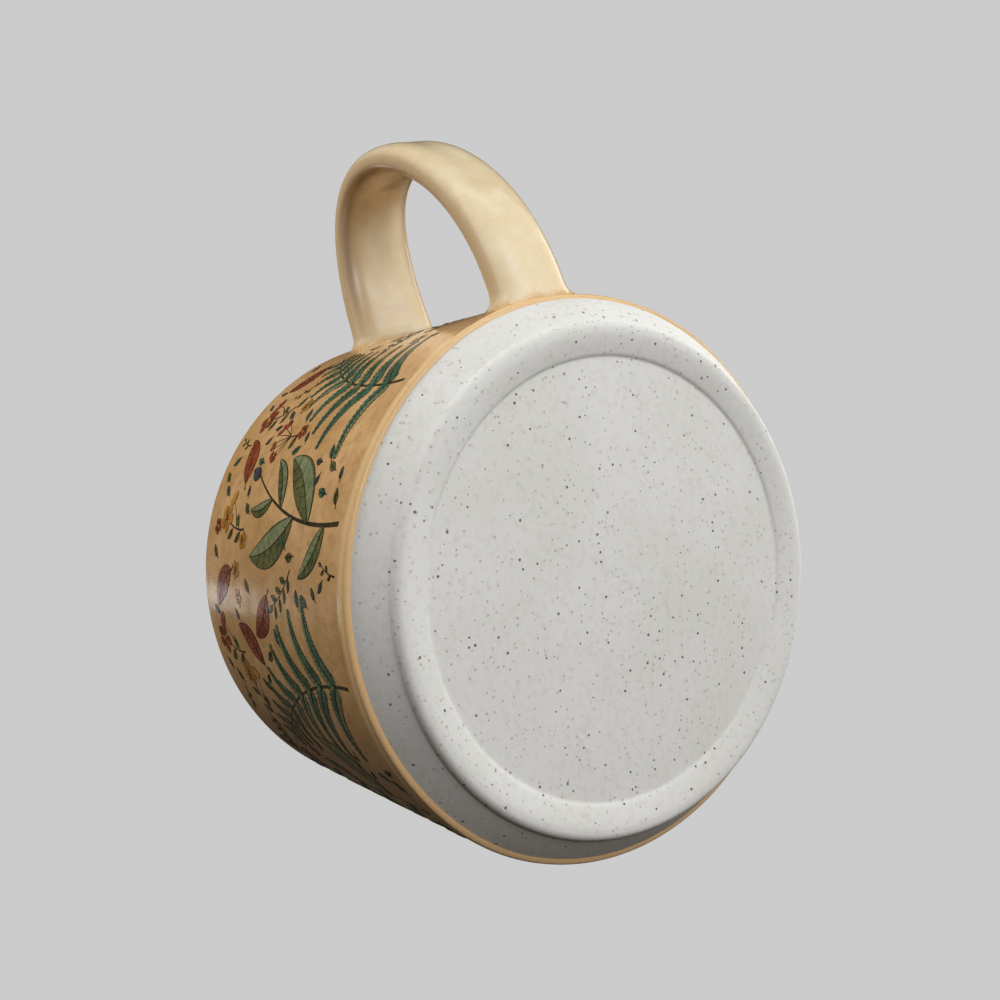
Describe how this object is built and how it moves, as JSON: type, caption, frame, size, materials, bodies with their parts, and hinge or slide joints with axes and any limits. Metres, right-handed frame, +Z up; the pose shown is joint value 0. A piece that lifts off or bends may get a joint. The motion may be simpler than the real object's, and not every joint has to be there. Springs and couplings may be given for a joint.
{
  "type": "stoneware mug",
  "caption": "Small straight-sided stoneware mug with a strap handle, honey glaze down to a bare clay band and a turned foot ring.",
  "frame": {"origin": "under the middle of the footprint, handle included, on the plane that the foot ring stands on", "axes": "+Z up from the foot to the lip, +X from the cup towards its handle, +Y completes a right-handed frame"},
  "size_m": [0.1262, 0.0926, 0.0695],
  "materials": {
    "bare_clay": "matte",
    "handle_clay": "matte",
    "slip": "matte",
    "honey_glaze": "gloss",
    "liner_glaze": "gloss",
    "cream_glaze": "gloss",
    "fern_ink": "gloss",
    "leaf_ink": "gloss",
    "red_ink": "gloss",
    "ochre_ink": "gloss",
    "line_ink": "gloss"
  },
  "bodies": {
    "root": {"stoneware_body": "bare_clay", "handle_strap": "handle_clay", "lower_slip_joint": "slip", "upper_slip_joint": "slip", "wall_glaze": "honey_glaze", "glaze_line_roll": "honey_glaze", "rim_glaze": "honey_glaze", "liner_glaze": "liner_glaze", "handle_glaze": "cream_glaze"}
  },
  "joints": []
}
